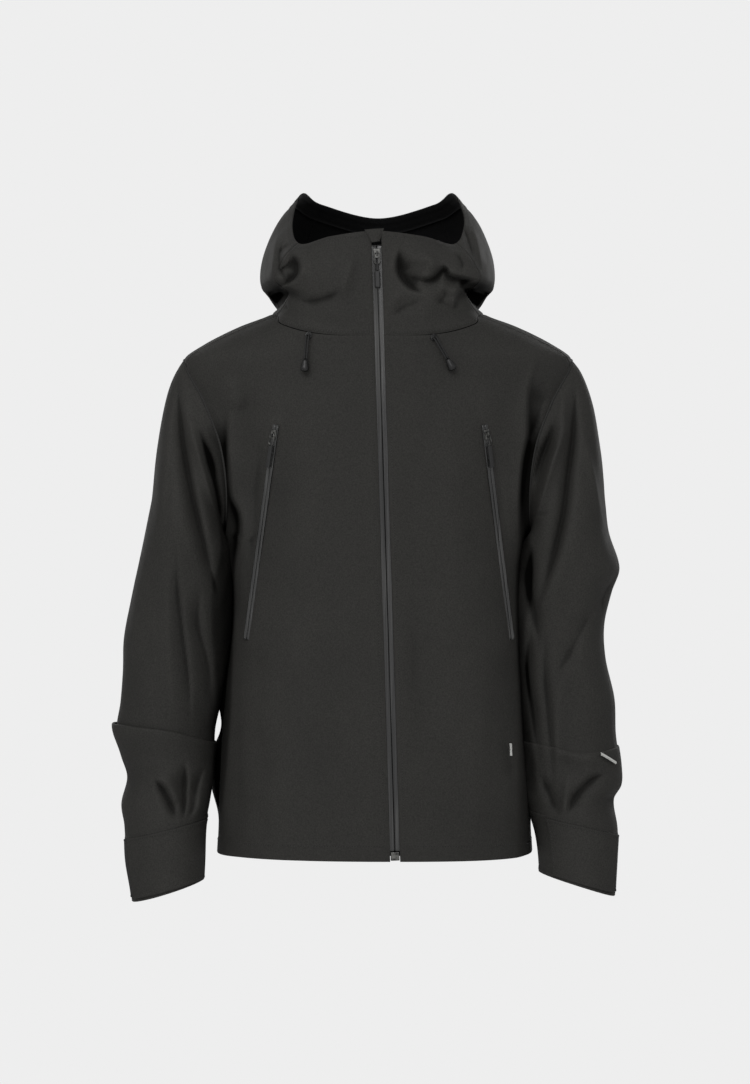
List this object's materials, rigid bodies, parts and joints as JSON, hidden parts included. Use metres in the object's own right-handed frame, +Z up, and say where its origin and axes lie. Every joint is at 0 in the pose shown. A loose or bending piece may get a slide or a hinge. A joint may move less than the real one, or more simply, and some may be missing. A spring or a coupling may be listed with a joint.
{
  "type": "hardshell jacket",
  "caption": "Hooded waterproof shell jacket with a full-length front zip, chest pocket zips, drawcords and adjustable cuffs, shaped as worn with the hood down.",
  "frame": {"origin": "on the centre plane at the base of the neck, level with the high point of the shoulders, where the wearer carries the jacket", "axes": "+Z up along the body, -Y out of the front zip, +X towards the wearer's left sleeve"},
  "size_m": [0.616, 0.3581, 0.8679],
  "materials": {
    "shell_fabric": "matte three-layer laminate with a fine plain weave",
    "lining": "matte tricot backer",
    "zip_tape": "coated water-resistant tape, satin",
    "cord": "braided elastic cord and woven tape",
    "moulded_plastic": "moulded, fine texture",
    "pull_rubber": "soft matte grip",
    "dark_metal": "gunmetal coating",
    "hook_and_loop": "loop pile",
    "label_cloth": "woven, blank"
  },
  "bodies": {
    "torso": {"front_panel_left": "shell_fabric", "front_panel_right": "shell_fabric", "back_panel": "shell_fabric", "shoulder_yoke": "shell_fabric", "collar_left": "shell_fabric", "collar_right": "shell_fabric", "hood_gusset_left": "shell_fabric", "hood_gusset_right": "shell_fabric", "neck_facing": "lining", "hanger_loop": "cord", "size_label": "label_cloth", "storm_flap": "lining", "hem_facing": "lining", "hem_drawcord": "cord", "hem_lock_left": "moulded_plastic", "hem_lock_right": "moulded_plastic", "pocket_bag_left": "lining", "pocket_bag_right": "lining", "front_zip_tape_left": "zip_tape", "front_zip_tape_right": "zip_tape", "front_zip_coil_left": "moulded_plastic", "front_zip_coil_right": "moulded_plastic", "front_zip_box": "dark_metal", "zip_garage": "shell_fabric", "chest_zip_tape_left": "zip_tape", "chest_zip_tape_right": "zip_tape", "cord_eyelet_left": "dark_metal", "cord_eyelet_right": "dark_metal", "drawcord_left_1": "cord", "drawcord_left_2": "cord", "drawcord_right_1": "cord", "drawcord_right_2": "cord", "cord_end_left": "moulded_plastic", "cord_end_right": "moulded_plastic"},
    "hood": {"hood_side_left": "shell_fabric", "hood_side_right": "shell_fabric", "hood_crown": "shell_fabric", "hood_brim": "shell_fabric"},
    "front_slider": {"front_slider": "dark_metal"},
    "front_pull": {"front_pull_wire": "dark_metal", "front_pull_loop": "cord", "front_pull_grip": "pull_rubber"},
    "sleeve_left": {"upper_sleeve_left": "shell_fabric"},
    "forearm_left": {"forearm_sleeve_left": "shell_fabric", "cuff_band_left": "shell_fabric", "cuff_loop_field_left": "hook_and_loop"},
    "cuff_tab_left": {"cuff_tab_left": "shell_fabric"},
    "chest_slider_left": {"chest_slider_left": "dark_metal"},
    "chest_pull_left": {"chest_pull_wire_left": "dark_metal", "chest_pull_grip_left": "pull_rubber"},
    "hem_plunger_left": {"hem_plunger_left": "moulded_plastic"},
    "sleeve_right": {"upper_sleeve_right": "shell_fabric"},
    "forearm_right": {"forearm_sleeve_right": "shell_fabric", "cuff_band_right": "shell_fabric", "cuff_loop_field_right": "hook_and_loop"},
    "cuff_tab_right": {"cuff_tab_right": "shell_fabric"},
    "chest_slider_right": {"chest_slider_right": "dark_metal"},
    "chest_pull_right": {"chest_pull_wire_right": "dark_metal", "chest_pull_grip_right": "pull_rubber"},
    "hem_plunger_right": {"hem_plunger_right": "moulded_plastic"}
  },
  "joints": [
    {"name": "hood_raise", "type": "hinge", "parent": "torso", "child": "hood", "pos_m": [0, 0.02, 0.012], "axis": [1, 0, 0], "range_deg": [0, 45], "deforming": ["hood_gusset_left", "hood_gusset_right"]},
    {"name": "sleeve_raise_left", "type": "hinge", "parent": "torso", "child": "sleeve_left", "pos_m": [0.238, 0, -0.045], "axis": [0, -1, 0], "range_deg": [0, 35]},
    {"name": "elbow_bend_left", "type": "hinge", "parent": "sleeve_left", "child": "forearm_left", "pos_m": [0.25, -0.061, -0.5], "axis": [-1, 0, 0], "range_deg": [0, 60]},
    {"name": "cuff_tab_peel_left", "type": "hinge", "parent": "forearm_left", "child": "cuff_tab_left", "pos_m": [0.20795, -0.06443, -0.64125], "axis": [0.0103, -0.2254, -0.9742], "range_deg": [0, 100]},
    {"name": "sleeve_raise_right", "type": "hinge", "parent": "torso", "child": "sleeve_right", "pos_m": [-0.238, 0, -0.045], "axis": [0, 1, 0], "range_deg": [0, 35]},
    {"name": "elbow_bend_right", "type": "hinge", "parent": "sleeve_right", "child": "forearm_right", "pos_m": [-0.25, -0.061, -0.5], "axis": [-1, 0, 0], "range_deg": [0, 60]},
    {"name": "cuff_tab_peel_right", "type": "hinge", "parent": "forearm_right", "child": "cuff_tab_right", "pos_m": [-0.20645, -0.06443, -0.64125], "axis": [-0.0089, 0.2254, 0.9742], "range_deg": [0, 100]},
    {"name": "front_zip_slide", "type": "slide", "parent": "torso", "child": "front_slider", "axis": [0.03, -0.0692, -0.9972], "range_m": [0, 0.695]},
    {"name": "front_pull_swing", "type": "hinge", "parent": "front_slider", "child": "front_pull", "pos_m": [-0.0015, -0.10009, 0.07803], "axis": [-0.9995, 0, -0.0301], "range_deg": [0, 140]},
    {"name": "chest_zip_slide_left", "type": "slide", "parent": "torso", "child": "chest_slider_left", "axis": [0.1273, 0.104, -0.9864], "range_m": [0, 0.232]},
    {"name": "chest_pull_swing_left", "type": "hinge", "parent": "chest_slider_left", "child": "chest_pull_left", "pos_m": [0.132, -0.10087, -0.13966], "axis": [-0.7722, -0.6138, -0.1644], "range_deg": [0, 140]},
    {"name": "chest_zip_slide_right", "type": "slide", "parent": "torso", "child": "chest_slider_right", "axis": [-0.139, 0.1038, -0.9848], "range_m": [0, 0.232]},
    {"name": "chest_pull_swing_right", "type": "hinge", "parent": "chest_slider_right", "child": "chest_pull_right", "pos_m": [-0.12687, -0.10088, -0.13963], "axis": [-0.771, 0.6128, 0.1734], "range_deg": [0, 140]},
    {"name": "hem_lock_press_left", "type": "slide", "parent": "torso", "child": "hem_plunger_left", "axis": [0, 0, -1], "range_m": [0, 0.0034], "stiffness_N_per_m": 150, "springref_m": -0.0005},
    {"name": "hem_lock_press_right", "type": "slide", "parent": "torso", "child": "hem_plunger_right", "axis": [0, 0, -1], "range_m": [0, 0.0034], "stiffness_N_per_m": 150, "springref_m": -0.0005}
  ]
}
